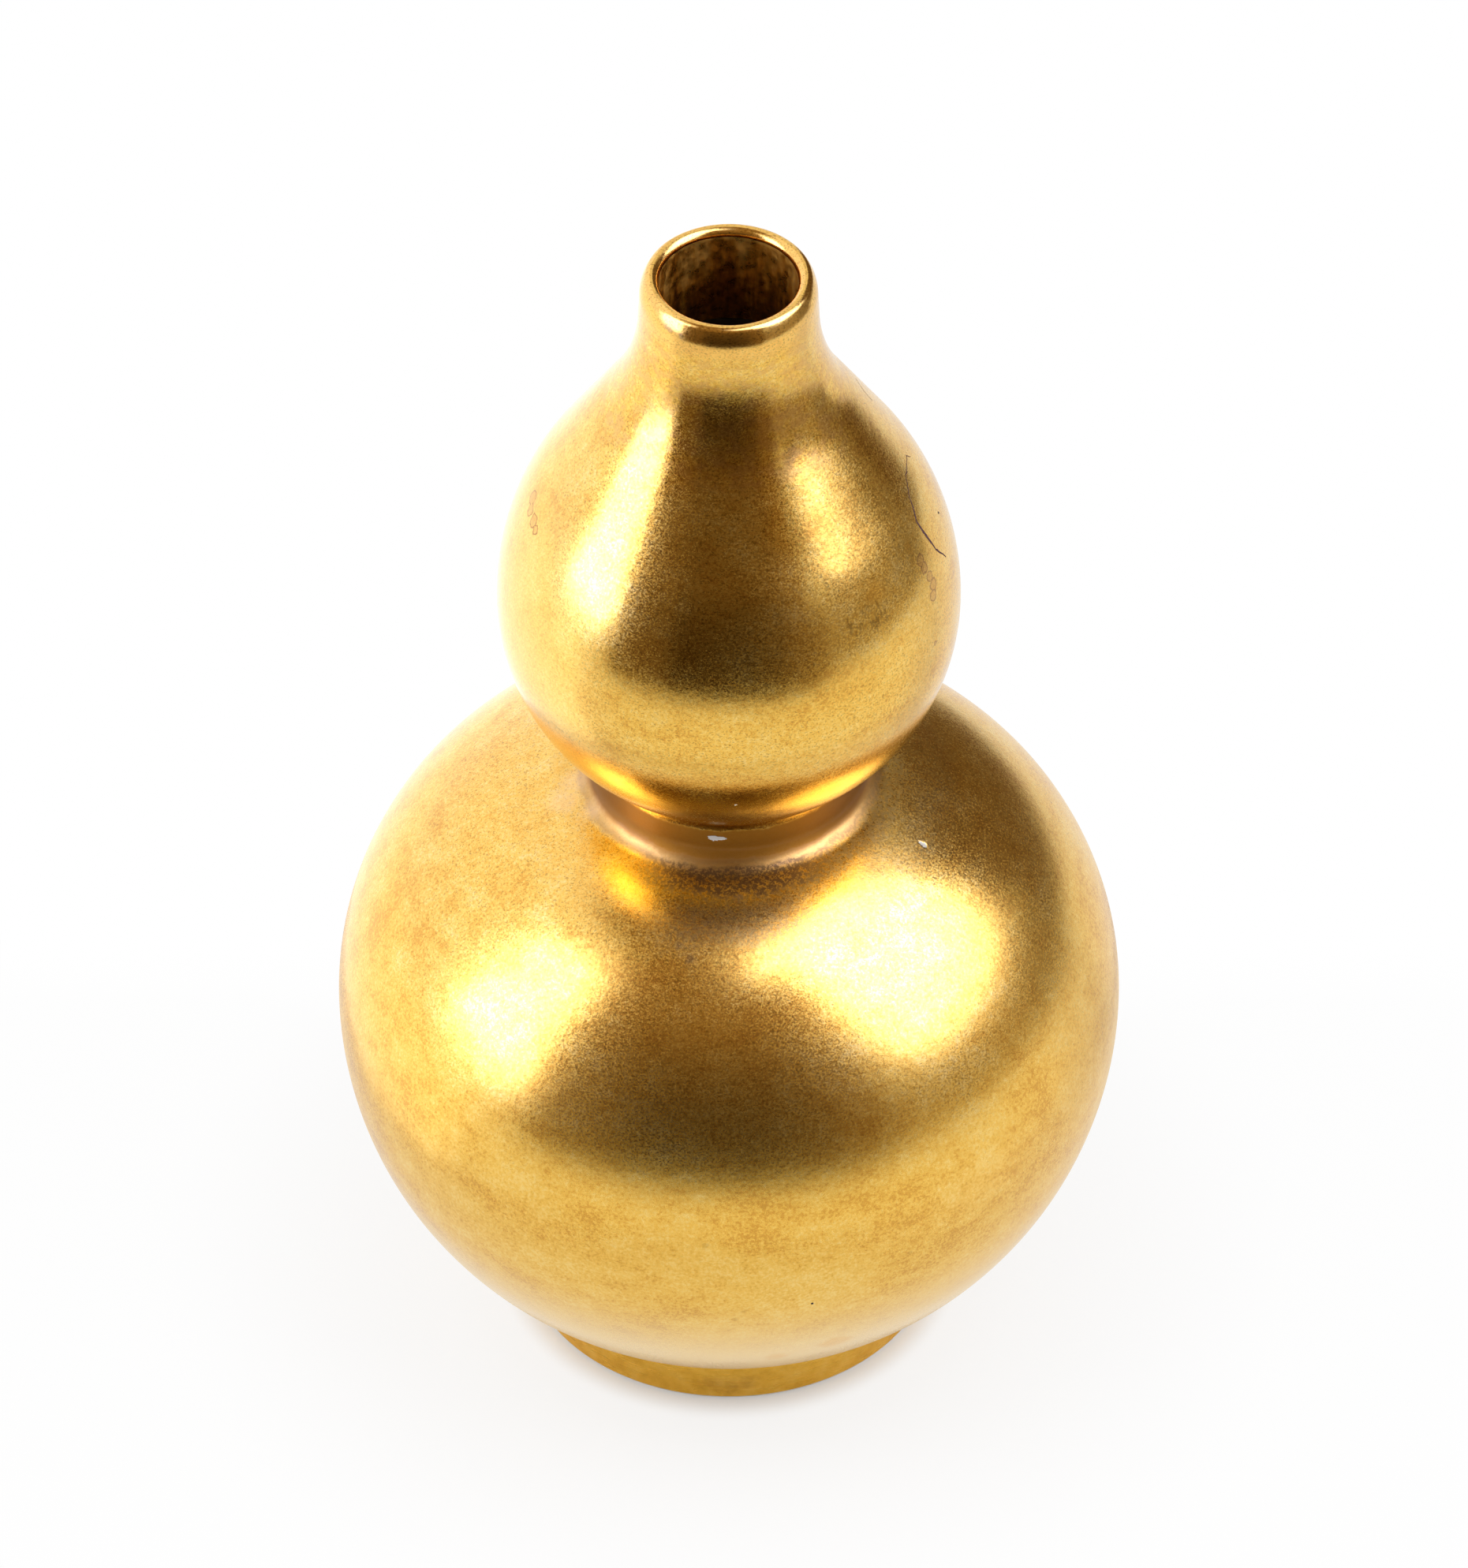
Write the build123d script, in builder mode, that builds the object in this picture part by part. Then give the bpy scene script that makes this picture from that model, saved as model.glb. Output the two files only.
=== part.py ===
from build123d import *
from math import atan2, cos, degrees, radians, sin, sqrt
import os

# A gilded porcelain vase in double-gourd form. It is thrown in four sections, which are luted
# together with slip, glazed, and then gilded by brush. Millimetres, +Z up. The origin is the
# centre of the foot, on the plane that the vase stands on.

# Finished outside, over the gilding, from the foot up. The upper bulb's lower half is a half sphere.
foot_radius = 26.95
foot_height = 7.5
foot_cove = 0.8
lower_bulb_radius = 50.0
lower_under_curve = 47.4
lower_shoulder_curve = 38.1
waist_radius = 17.15
waist_lower_cove = 3.4
waist_collar = 2.8
waist_upper_cove = 2.1
upper_bulb_radius = 28.8
upper_shoulder_curve = 38.3
neck_slope = 33.2
neck_cove = 26.4
neck_taper = 2.5
neck_straight = 3.55
lip_swell = 5.0
lip_swell_turn = 27.5
lip_outer_round = 0.9

# Finished inside
mouth_radius = 8.45
lip_inner_round = 1.0
throat_curve = 20.0
wall = 3.2
cavity_floor = 9.4
floor_cove = 6.0

# Foot ring and the recess inside it
foot_rim_width = 3.6
foot_rim_chamfer = 0.3
foot_bare = 0.5
recess_depth = 4.6
recess_cove = 2.2

# Gilding, and the slip that joins the sections
gilding = 0.1
mouth_gilding_depth = 13.4
seam_slip = 0.8
seam_bead = 1.0


def cove_rise(cove, curve, curve_centre, upright):
    """Height from a bulb's widest circle to the centre of the cove that joins it to an upright wall."""
    return sqrt((curve + cove) ** 2 - (upright + cove - curve_centre) ** 2)


# Lower bulb: one curve under its widest circle and a tighter one over it, both level there
lower_under_centre = lower_bulb_radius - lower_under_curve
lower_shoulder_centre = lower_bulb_radius - lower_shoulder_curve
foot_cove_centre = foot_radius + foot_cove
lower_bulb_z = foot_height + cove_rise(foot_cove, lower_under_curve, lower_under_centre, foot_radius)
lower_under_angle = degrees(
    atan2(lower_bulb_z - foot_height, foot_cove_centre - lower_under_centre)
)

# Waist: an upright collar between two coves
lower_cove_centre = waist_radius + waist_lower_cove
upper_cove_centre = waist_radius + waist_upper_cove
collar_bottom_z = lower_bulb_z + cove_rise(
    waist_lower_cove, lower_shoulder_curve, lower_shoulder_centre, waist_radius
)
collar_top_z = collar_bottom_z + waist_collar
lower_shoulder_angle = degrees(
    atan2(collar_bottom_z - lower_bulb_z, lower_cove_centre - lower_shoulder_centre)
)

# Upper bulb
upper_shoulder_centre = upper_bulb_radius - upper_shoulder_curve
upper_bulb_z = collar_top_z + cove_rise(waist_upper_cove, upper_bulb_radius, 0, waist_radius)
upper_under_angle = degrees(atan2(upper_bulb_z - collar_top_z, upper_cove_centre))

# Neck: a straight slope off the upper bulb, a cove, a nearly upright stretch, and a gentle swell
# that tightens into the lip's roll
slope = radians(neck_slope)
taper = radians(neck_taper)
lip_roll_angle = neck_taper + lip_swell_turn
lip_roll = radians(lip_roll_angle)
lip_crest = mouth_radius + lip_inner_round
lip_swell_centre = lip_crest + (lip_outer_round - lip_swell) * cos(lip_roll)
neck_top = lip_swell_centre + lip_swell * cos(taper)
neck_cove_centre = neck_top + neck_straight * sin(taper) + neck_cove * cos(taper)
slope_start = upper_shoulder_centre + upper_shoulder_curve * cos(slope)
slope_length = (slope_start + neck_cove * cos(slope) - neck_cove_centre) / sin(slope)
neck_cove_z = (
    upper_bulb_z + (upper_shoulder_curve + neck_cove) * sin(slope) + slope_length * cos(slope)
)
lip_swell_z = neck_cove_z + neck_straight * cos(taper) - (neck_cove + lip_swell) * sin(taper)
lip_outer_z = lip_swell_z + (lip_swell - lip_outer_round) * sin(lip_roll)
height = lip_outer_z + lip_outer_round
lip_inner_z = height - lip_inner_round

# Inside: the bulbs follow the outside at the wall's thickness, and the throat rounds into the mouth
throat_centre = mouth_radius + throat_curve
throat_start = upper_shoulder_centre + (upper_shoulder_curve - wall) * cos(slope)
throat_slope = (throat_start + throat_curve * cos(slope) - throat_centre) / sin(slope)
throat_z = (
    upper_bulb_z
    + (upper_shoulder_curve - wall + throat_curve) * sin(slope)
    + throat_slope * cos(slope)
)
floor_cove_z = cavity_floor + floor_cove
floor_drop = lower_bulb_z - floor_cove_z
floor_flat = lower_under_centre + sqrt((lower_under_curve - wall - floor_cove) ** 2 - floor_drop**2)
floor_angle = degrees(atan2(floor_drop, floor_flat - lower_under_centre))

# Recess under the floor
recess_radius = foot_radius - foot_rim_width

# Luting planes, at the widest circles and the middle of the waist collar, with the inner radius there
waist_z = (collar_bottom_z + collar_top_z) / 2
seam_places = {
    "lower_bulb_seam": (lower_bulb_radius - wall + gilding, lower_bulb_z),
    "waist_seam": (waist_radius - wall + gilding, waist_z),
    "upper_bulb_seam": (upper_bulb_radius - wall + gilding, upper_bulb_z),
}


def draw_gourd(depth):
    """Outline from the top of the foot wall to the lip's crest, a depth under the finished surface."""
    CenterArc((foot_cove_centre, foot_height), foot_cove + depth, 180, -lower_under_angle)
    CenterArc(
        (lower_under_centre, lower_bulb_z),
        lower_under_curve - depth,
        -lower_under_angle,
        lower_under_angle,
    )
    CenterArc(
        (lower_shoulder_centre, lower_bulb_z),
        lower_shoulder_curve - depth,
        0,
        lower_shoulder_angle,
    )
    CenterArc(
        (lower_cove_centre, collar_bottom_z),
        waist_lower_cove + depth,
        180,
        lower_shoulder_angle,
    )
    Line((waist_radius - depth, collar_bottom_z), (waist_radius - depth, collar_top_z))
    CenterArc((upper_cove_centre, collar_top_z), waist_upper_cove + depth, 180, -upper_under_angle)
    CenterArc((0, upper_bulb_z), upper_bulb_radius - depth, -upper_under_angle, upper_under_angle)
    shoulder = CenterArc(
        (upper_shoulder_centre, upper_bulb_z), upper_shoulder_curve - depth, 0, neck_slope
    )
    cove = CenterArc(
        (neck_cove_centre, neck_cove_z), neck_cove + depth, 180 + neck_taper, neck_slope - neck_taper
    )
    Line(shoulder @ 1, cove @ 1)
    swell = CenterArc(
        (lip_swell_centre, lip_swell_z), lip_swell - depth, neck_taper, lip_swell_turn
    )
    Line(cove @ 0, swell @ 0)
    CenterArc(
        (lip_crest, lip_outer_z), lip_outer_round - depth, lip_roll_angle, 90 - lip_roll_angle
    )


def draw_lip_inside(depth):
    """Outline from the lip's crest to the top of the mouth's straight wall."""
    CenterArc((lip_crest, lip_inner_z), lip_inner_round - depth, 90, 90)


def draw_mouth(depth):
    """Outline down the mouth's straight wall and round the throat, to the slope. Returns the throat."""
    Line((mouth_radius + depth, lip_inner_z), (mouth_radius + depth, throat_z))
    return CenterArc((throat_centre, throat_z), throat_curve - depth, 180, neck_slope)


def draw_cavity(depth):
    """Outline of the whole inside, from the top of the mouth's straight wall to the floor's centre."""
    throat = draw_mouth(depth)
    inset = wall - depth
    shoulder = CenterArc(
        (upper_shoulder_centre, upper_bulb_z), upper_shoulder_curve - inset, 0, neck_slope
    )
    Line(shoulder @ 1, throat @ 1)
    CenterArc((0, upper_bulb_z), upper_bulb_radius - inset, -upper_under_angle, upper_under_angle)
    CenterArc((upper_cove_centre, collar_top_z), waist_upper_cove + inset, 180, -upper_under_angle)
    Line((waist_radius - inset, collar_bottom_z), (waist_radius - inset, collar_top_z))
    CenterArc(
        (lower_cove_centre, collar_bottom_z),
        waist_lower_cove + inset,
        180,
        lower_shoulder_angle,
    )
    CenterArc(
        (lower_shoulder_centre, lower_bulb_z),
        lower_shoulder_curve - inset,
        0,
        lower_shoulder_angle,
    )
    CenterArc(
        (lower_under_centre, lower_bulb_z), lower_under_curve - inset, -floor_angle, floor_angle
    )
    CenterArc((floor_flat, floor_cove_z), floor_cove + depth, -90, 90 - floor_angle)
    Line((floor_flat, cavity_floor - depth), (0, cavity_floor - depth))


def draw_body():
    """Closed outline of the porcelain, from the foot's rim to the lip."""
    outer = foot_radius - gilding
    draw_gourd(gilding)
    draw_lip_inside(gilding)
    draw_cavity(gilding)
    Line((outer, foot_rim_chamfer), (outer, foot_height))
    Polyline(
        (outer, foot_rim_chamfer),
        (outer - foot_rim_chamfer, 0),
        (recess_radius + foot_rim_chamfer, 0),
        (recess_radius, foot_rim_chamfer),
        (recess_radius, recess_depth - recess_cove),
    )
    CenterArc((recess_radius - recess_cove, recess_depth - recess_cove), recess_cove, 0, 90)
    Polyline(
        (recess_radius - recess_cove, recess_depth), (0, recess_depth), (0, cavity_floor - gilding)
    )


# Porcelain, as one turned form. The sections and the rings of slip are taken from it.
with BuildPart() as body:
    with BuildSketch(Plane.XZ):
        with BuildLine():
            draw_body()
        make_face()
    revolve(axis=Axis.Z)

# Foot, floor and lower half of the lower bulb
with BuildPart() as base_section:
    add(body.part)
    split(bisect_by=Plane.XY.offset(lower_bulb_z - seam_slip / 2), keep=Keep.BOTTOM)
base_section.part.label = "base_section"

# Upper half of the lower bulb, to the middle of the waist collar
with BuildPart() as shoulder_section:
    add(body.part)
    split(bisect_by=Plane.XY.offset(lower_bulb_z + seam_slip / 2), keep=Keep.TOP)
    split(bisect_by=Plane.XY.offset(waist_z - seam_slip / 2), keep=Keep.BOTTOM)
shoulder_section.part.label = "shoulder_section"

# Lower half of the upper bulb
with BuildPart() as upper_bulb_section:
    add(body.part)
    split(bisect_by=Plane.XY.offset(waist_z + seam_slip / 2), keep=Keep.TOP)
    split(bisect_by=Plane.XY.offset(upper_bulb_z - seam_slip / 2), keep=Keep.BOTTOM)
upper_bulb_section.part.label = "upper_bulb_section"

# Upper half of the upper bulb, neck and lip
with BuildPart() as neck_section:
    add(body.part)
    split(bisect_by=Plane.XY.offset(upper_bulb_z + seam_slip / 2), keep=Keep.TOP)
neck_section.part.label = "neck_section"

# Rings of slip between the sections, with the beads that squeeze out inside
seams = []
for seam_name, seam_place in seam_places.items():
    seam_z = seam_place[1]
    with BuildPart() as seam:
        add(body.part)
        split(bisect_by=Plane.XY.offset(seam_z - seam_slip / 2), keep=Keep.TOP)
        split(bisect_by=Plane.XY.offset(seam_z + seam_slip / 2), keep=Keep.BOTTOM)
        with BuildSketch(Plane.XZ):
            with Locations(seam_place):
                Circle(seam_bead)
            with BuildLine():
                draw_cavity(gilding)
                Polyline(
                    (mouth_radius + gilding, lip_inner_z),
                    (0, lip_inner_z),
                    (0, cavity_floor - gilding),
                )
            make_face(mode=Mode.INTERSECT)
        revolve(axis=Axis.Z)
    seam.part.label = seam_name
    seams.append(seam.part)

# Gilding outside, from the top of the foot wall over the lip to the mouth's straight wall
with BuildPart() as body_gilding:
    with BuildSketch(Plane.XZ):
        with BuildLine():
            draw_gourd(0)
            draw_lip_inside(0)
            Line((mouth_radius, lip_inner_z), (mouth_radius + gilding, lip_inner_z))
            draw_lip_inside(gilding)
            draw_gourd(gilding)
            Line((foot_radius, foot_height), (foot_radius - gilding, foot_height))
        make_face()
    revolve(axis=Axis.Z)
body_gilding.part.label = "body_gilding"

# Gilding on the foot's upright wall
with BuildPart() as foot_gilding:
    with BuildSketch(Plane.XZ):
        with BuildLine():
            Polyline(
                (foot_radius, foot_bare),
                (foot_radius, foot_height),
                (foot_radius - gilding, foot_height),
                (foot_radius - gilding, foot_bare),
                close=True,
            )
        make_face()
    revolve(axis=Axis.Z)
foot_gilding.part.label = "foot_gilding"

# Gilding brushed down inside the mouth
with BuildPart() as mouth_gilding:
    with BuildSketch(Plane.XZ):
        with BuildLine():
            bare = draw_mouth(0)
            glazed = draw_mouth(gilding)
            Line((mouth_radius, lip_inner_z), (mouth_radius + gilding, lip_inner_z))
            Line(bare @ 1, glazed @ 1)
        make_face()
    revolve(axis=Axis.Z)
    split(bisect_by=Plane.XY.offset(height - mouth_gilding_depth), keep=Keep.TOP)
mouth_gilding.part.label = "mouth_gilding"

os.makedirs("parts", exist_ok=True)
export_step(base_section.part, "parts/base_section.step")
export_step(shoulder_section.part, "parts/shoulder_section.step")
export_step(upper_bulb_section.part, "parts/upper_bulb_section.step")
export_step(neck_section.part, "parts/neck_section.step")
for seam_part in seams:
    export_step(seam_part, f"parts/{seam_part.label}.step")
export_step(body_gilding.part, "parts/body_gilding.step")
export_step(foot_gilding.part, "parts/foot_gilding.step")
export_step(mouth_gilding.part, "parts/mouth_gilding.step")
print("height", round(height, 2), "lower bulb", round(lower_bulb_z, 2), "upper bulb", round(upper_bulb_z, 2))
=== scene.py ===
import math

import bpy
import numpy as np
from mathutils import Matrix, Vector


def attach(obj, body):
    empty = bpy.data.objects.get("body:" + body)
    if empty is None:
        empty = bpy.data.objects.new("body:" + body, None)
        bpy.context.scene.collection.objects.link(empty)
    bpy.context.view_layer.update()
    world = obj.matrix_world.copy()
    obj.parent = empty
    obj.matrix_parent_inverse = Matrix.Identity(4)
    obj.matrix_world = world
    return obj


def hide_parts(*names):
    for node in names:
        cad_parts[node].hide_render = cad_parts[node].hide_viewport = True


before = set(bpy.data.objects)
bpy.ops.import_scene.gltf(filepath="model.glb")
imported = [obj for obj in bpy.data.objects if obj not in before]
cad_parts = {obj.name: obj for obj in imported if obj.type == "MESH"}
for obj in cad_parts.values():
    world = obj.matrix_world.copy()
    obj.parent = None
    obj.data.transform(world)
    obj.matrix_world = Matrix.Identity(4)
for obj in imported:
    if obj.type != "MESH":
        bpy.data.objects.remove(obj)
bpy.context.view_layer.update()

# The finish of a gilded porcelain double-gourd vase, in metres, in the frame of the solids.
# The gilding is remade as fine closed shells of revolution, with the marks that years of use left.

MM = 0.001

# Finished outline, from the foot up
foot_radius = 26.95 * MM
foot_height = 7.5 * MM
foot_cove = 0.8 * MM
foot_bare = 0.5 * MM
lower_bulb_radius = 50.0 * MM
lower_under_curve = 47.4 * MM
lower_shoulder_curve = 38.1 * MM
waist_radius = 17.15 * MM
waist_lower_cove = 3.4 * MM
waist_collar = 2.8 * MM
waist_upper_cove = 2.1 * MM
upper_bulb_radius = 28.8 * MM
upper_shoulder_curve = 38.3 * MM
neck_slope = math.radians(33.2)
neck_cove = 26.4 * MM
neck_taper = math.radians(2.5)
neck_straight = 3.55 * MM
lip_swell = 5.0 * MM
lip_swell_turn = math.radians(27.5)
lip_outer_round = 0.9 * MM
mouth_radius = 8.45 * MM
lip_inner_round = 1.0 * MM
throat_curve = 20.0 * MM
upper_wall = 3.2 * MM
gilding = 0.1 * MM

# Mesh fineness. A fineness multiplies the rows on an arc that is small.
turn_steps = 288
row_step = 0.7 * MM
fine_step = 0.1 * MM
fewest_arc_rows = 3
shortest_gap = row_step / 50
cove_fineness = 3
lip_swell_fineness = 2
lip_round_fineness = 6
sharp_angle = math.radians(50)

# Hand-made unevenness: slow waves, each with its lobes round the vase and radians per metre of height
sink = 0.012 * MM
wave_depth = 0.014 * MM
wave_seed = 17
wave_sizes = (0.5, 1)
hand_waves = ((2, 40), (3, 90), (5, 140), (7, 60), (4, 260), (9, 200), (1, 420), (6, 330))

# Chips in the gilding: azimuth in degrees (0 faces the camera, positive to its right), height,
# half width and half height. The glaze shows in them. Ripples of (lobes, depth) make them ragged.
chip_depth = 0.08 * MM
chip_ripples = ((3, 0.12), (7, 0.08), (12, 0.05))
chip_edge_steepness = 6
chip_margin = 1.4
glaze_share = 0.45
chips = (
    (-5.2, 90.4 * MM, 1.25 * MM, 0.40 * MM),
    (1.9, 104.9 * MM, 0.22 * MM, 0.18 * MM),
    (65.7, 83.7 * MM, 0.30 * MM, 0.26 * MM),
)

# Dirt is ragged: its widths vary by a share between these
ragged_shares = (0.7, 1.2)

# Hairline cracks, along places of azimuth in degrees, height and width
crack_steps = 7
crack_wander = 0.09 * MM
crack_low = -0.03 * MM
crack_high = 0.012 * MM
main_crack_places = (
    (94.0, 137.3 * MM, 0.06 * MM), (91.9, 138.18 * MM, 0.13 * MM), (82.5, 138.14 * MM, 0.15 * MM),
    (76.8, 137.0 * MM, 0.15 * MM), (72.5, 134.5 * MM, 0.25 * MM), (72.9, 132.9 * MM, 0.38 * MM),
    (73.3, 132.2 * MM, 0.36 * MM), (74.8, 129.6 * MM, 0.28 * MM), (78.8, 127.0 * MM, 0.20 * MM),
)
upper_crack_places = (
    (111.5, 146.0 * MM, 0.03 * MM), (106.0, 145.3 * MM, 0.06 * MM), (104.6, 143.8 * MM, 0.03 * MM),
)

# Crumbs of dirt are domes of rings, each with its share of the reach and its lift off the surface
crumb_sides = 10
crumb_rings = ((1.0, -0.02 * MM), (0.95, 0.02 * MM), (0.55, 0.06 * MM))


def cove_rise(cove, curve, curve_centre, upright):
    """Height from a bulb's widest circle to the centre of the cove that joins it to an upright wall."""
    return math.sqrt((curve + cove) ** 2 - (upright + cove - curve_centre) ** 2)


foot_cove_centre = foot_radius + foot_cove
lower_under_centre = lower_bulb_radius - lower_under_curve
lower_shoulder_centre = lower_bulb_radius - lower_shoulder_curve
lower_bulb_z = foot_height + cove_rise(foot_cove, lower_under_curve, lower_under_centre, foot_radius)
lower_under_angle = math.atan2(lower_bulb_z - foot_height, foot_cove_centre - lower_under_centre)
lower_cove_centre = waist_radius + waist_lower_cove
upper_cove_centre = waist_radius + waist_upper_cove
collar_bottom_z = lower_bulb_z + cove_rise(
    waist_lower_cove, lower_shoulder_curve, lower_shoulder_centre, waist_radius
)
collar_top_z = collar_bottom_z + waist_collar
lower_shoulder_angle = math.atan2(
    collar_bottom_z - lower_bulb_z, lower_cove_centre - lower_shoulder_centre
)
upper_shoulder_centre = upper_bulb_radius - upper_shoulder_curve
upper_bulb_z = collar_top_z + cove_rise(waist_upper_cove, upper_bulb_radius, 0, waist_radius)
upper_under_angle = math.atan2(upper_bulb_z - collar_top_z, upper_cove_centre)
lip_roll = neck_taper + lip_swell_turn
lip_crest = mouth_radius + lip_inner_round
lip_swell_centre = lip_crest + (lip_outer_round - lip_swell) * math.cos(lip_roll)
neck_top = lip_swell_centre + lip_swell * math.cos(neck_taper)
neck_cove_centre = neck_top + neck_straight * math.sin(neck_taper) + neck_cove * math.cos(neck_taper)
slope_start = upper_shoulder_centre + upper_shoulder_curve * math.cos(neck_slope)
slope_length = (slope_start + neck_cove * math.cos(neck_slope) - neck_cove_centre) / math.sin(neck_slope)
neck_cove_z = (
    upper_bulb_z
    + (upper_shoulder_curve + neck_cove) * math.sin(neck_slope)
    + slope_length * math.cos(neck_slope)
)
lip_swell_z = (
    neck_cove_z
    + neck_straight * math.cos(neck_taper)
    - (neck_cove + lip_swell) * math.sin(neck_taper)
)
lip_outer_z = lip_swell_z + (lip_swell - lip_outer_round) * math.sin(lip_roll)
height = lip_outer_z + lip_outer_round
lip_inner_z = height - lip_inner_round
throat_centre = mouth_radius + throat_curve
throat_start = upper_shoulder_centre + (upper_shoulder_curve - upper_wall) * math.cos(neck_slope)
throat_slope = (throat_start + throat_curve * math.cos(neck_slope) - throat_centre) / math.sin(neck_slope)
throat_z = (
    upper_bulb_z
    + (upper_shoulder_curve - upper_wall + throat_curve) * math.sin(neck_slope)
    + throat_slope * math.cos(neck_slope)
)


def arc(centre_r, centre_z, radius, start, end, full_radius):
    """Points (radius, z) on an arc. Their number follows the finished radius, so that skins match."""
    count = max(fewest_arc_rows, math.ceil(abs(end - start) * full_radius / row_step))
    angles = np.linspace(start, end, count + 1)
    return np.column_stack([centre_r + radius * np.cos(angles), centre_z + radius * np.sin(angles)])


def joined(arcs):
    """One line through the arcs, with the straight stretches between them divided like the arcs."""
    rows = [arcs[0]]
    for piece in arcs[1:]:
        gap = piece[0] - rows[-1][-1]
        count = math.ceil(float(np.hypot(*gap)) / row_step)
        if count > 1:
            share = np.arange(1, count)[:, None] / count
            rows.append(rows[-1][-1] + share * gap)
        if np.hypot(*gap) < shortest_gap:
            piece = piece[1:]
        rows.append(piece)
    return np.vstack(rows)


def gourd_line(depth):
    """Outline from the top of the foot wall over the lip to the mouth, a depth under the finish."""
    half_turn = math.pi
    return joined(
        [
            arc(foot_cove_centre, foot_height, foot_cove + depth, half_turn,
                half_turn - lower_under_angle, foot_cove * cove_fineness),
            arc(lower_under_centre, lower_bulb_z, lower_under_curve - depth, -lower_under_angle, 0,
                lower_under_curve),
            arc(lower_shoulder_centre, lower_bulb_z, lower_shoulder_curve - depth, 0,
                lower_shoulder_angle, lower_shoulder_curve),
            arc(lower_cove_centre, collar_bottom_z, waist_lower_cove + depth,
                half_turn + lower_shoulder_angle, half_turn, waist_lower_cove * cove_fineness),
            arc(upper_cove_centre, collar_top_z, waist_upper_cove + depth, half_turn,
                half_turn - upper_under_angle, waist_upper_cove * cove_fineness),
            arc(0, upper_bulb_z, upper_bulb_radius - depth, -upper_under_angle, 0, upper_bulb_radius),
            arc(upper_shoulder_centre, upper_bulb_z, upper_shoulder_curve - depth, 0, neck_slope,
                upper_shoulder_curve),
            arc(neck_cove_centre, neck_cove_z, neck_cove + depth, half_turn + neck_slope,
                half_turn + neck_taper, neck_cove),
            arc(lip_swell_centre, lip_swell_z, lip_swell - depth, neck_taper, lip_roll,
                lip_swell * lip_swell_fineness),
            arc(lip_crest, lip_outer_z, lip_outer_round - depth, lip_roll, half_turn / 2,
                lip_outer_round * lip_round_fineness),
            arc(lip_crest, lip_inner_z, lip_inner_round - depth, half_turn / 2, half_turn,
                lip_inner_round * lip_round_fineness),
        ]
    )


def mouth_line(depth):
    """Outline down the mouth's straight wall from the lip, and half way round the throat."""
    top = np.array([[mouth_radius + depth, lip_inner_z]])
    throat = arc(throat_centre, throat_z, throat_curve - depth, math.pi, math.pi + neck_slope / 2,
                 throat_curve)
    return joined([top, throat])


def foot_line(depth):
    """Outline up the foot's wall."""
    radius = foot_radius - depth
    return joined([np.array([[radius, foot_bare]]), np.array([[radius, foot_height]])])


def refined(line, low, high):
    """The line with fine rows between two heights."""
    rows = [line[:1]]
    for start, end in zip(line[:-1], line[1:]):
        near = max(start[1], end[1]) > low and min(start[1], end[1]) < high
        count = max(1, math.ceil(float(np.hypot(*(end - start))) / fine_step)) if near else 1
        rows.append(start + np.arange(1, count + 1)[:, None] / count * (end - start))
    return np.vstack(rows)


def unevenness(angle, z):
    """How far the surface lies under the true form, in waves left by hand turning and burnishing."""
    random = np.random.default_rng(wave_seed)
    depth = np.zeros_like(angle)
    total = 0
    for lobes, rise in hand_waves:
        size = random.uniform(*wave_sizes)
        phase = random.uniform(0, 2 * math.pi)
        depth += size * np.sin(lobes * angle + rise * z + phase)
        total += size
    return sink + wave_depth * (1 + depth / total)


def in_chip(angle, radius, z):
    """How far each point is inside a chip: 0 outside, 1 well inside its ragged outline."""
    inside = np.zeros_like(angle)
    for azimuth, chip_z, half_width, half_height in chips:
        across = (angle - math.radians(azimuth)) * radius / half_width
        along = (z - chip_z) / half_height
        turn = np.arctan2(along, across)
        ragged = 1.0
        for (lobes, ripple), phase in zip(chip_ripples, (azimuth, 2, 0)):
            ragged = ragged + ripple * np.sin(lobes * turn + phase)
        depth = np.clip((ragged - np.hypot(across, along)) * chip_edge_steepness, 0, 1)
        inside = np.maximum(inside, depth)
    return inside


def add_object(name, points, faces):
    """New mesh object in the scene."""
    mesh = bpy.data.meshes.new(name)
    mesh.from_pydata(points, [], faces)
    mesh.update()
    made = bpy.data.objects.new(name, mesh)
    bpy.context.scene.collection.objects.link(made)
    return made


def shell(name, outer, inner, angles):
    """Closed shell of revolution between two lines of (radius, z) points, uneven on the outside.

    Faces in a chip take the second material.
    """
    line = np.vstack([outer, inner[::-1]])
    on_outside = np.arange(len(line)) < len(outer)
    angle, radius = np.meshgrid(angles, line[:, 0], indexing="ij")
    z = np.broadcast_to(line[:, 1], angle.shape).copy()
    step = np.gradient(outer, axis=0)
    step /= np.hypot(step[:, 0], step[:, 1])[:, None]
    inward = np.zeros_like(line)
    inward[: len(outer)] = np.column_stack([-step[:, 1], step[:, 0]])
    chipped = in_chip(angle, radius, z) * on_outside
    depth = chipped * chip_depth + (1 - chipped) * unevenness(angle, z) * on_outside
    radius = radius + depth * inward[:, 0]
    z = z + depth * inward[:, 1]
    points = np.stack([radius * np.sin(angle), -radius * np.cos(angle), z], axis=-1).reshape(-1, 3)
    turns, rows = angle.shape
    turn = np.arange(turns)[:, None]
    row = np.arange(rows)[None, :]
    next_turn = (turn + 1) % turns
    next_row = (row + 1) % rows
    quads = np.stack(
        [turn * rows + row, next_turn * rows + row, next_turn * rows + next_row, turn * rows + next_row],
        axis=-1,
    ).reshape(-1, 4)
    piece = add_object(name, points.tolist(), quads.tolist())
    piece.data.shade_smooth()
    piece.data.set_sharp_from_angle(angle=sharp_angle)
    shows_glaze = chipped.reshape(-1)[quads].mean(axis=1) > glaze_share
    piece.data.polygons.foreach_set("material_index", shows_glaze.astype(np.int32))
    return piece


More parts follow.
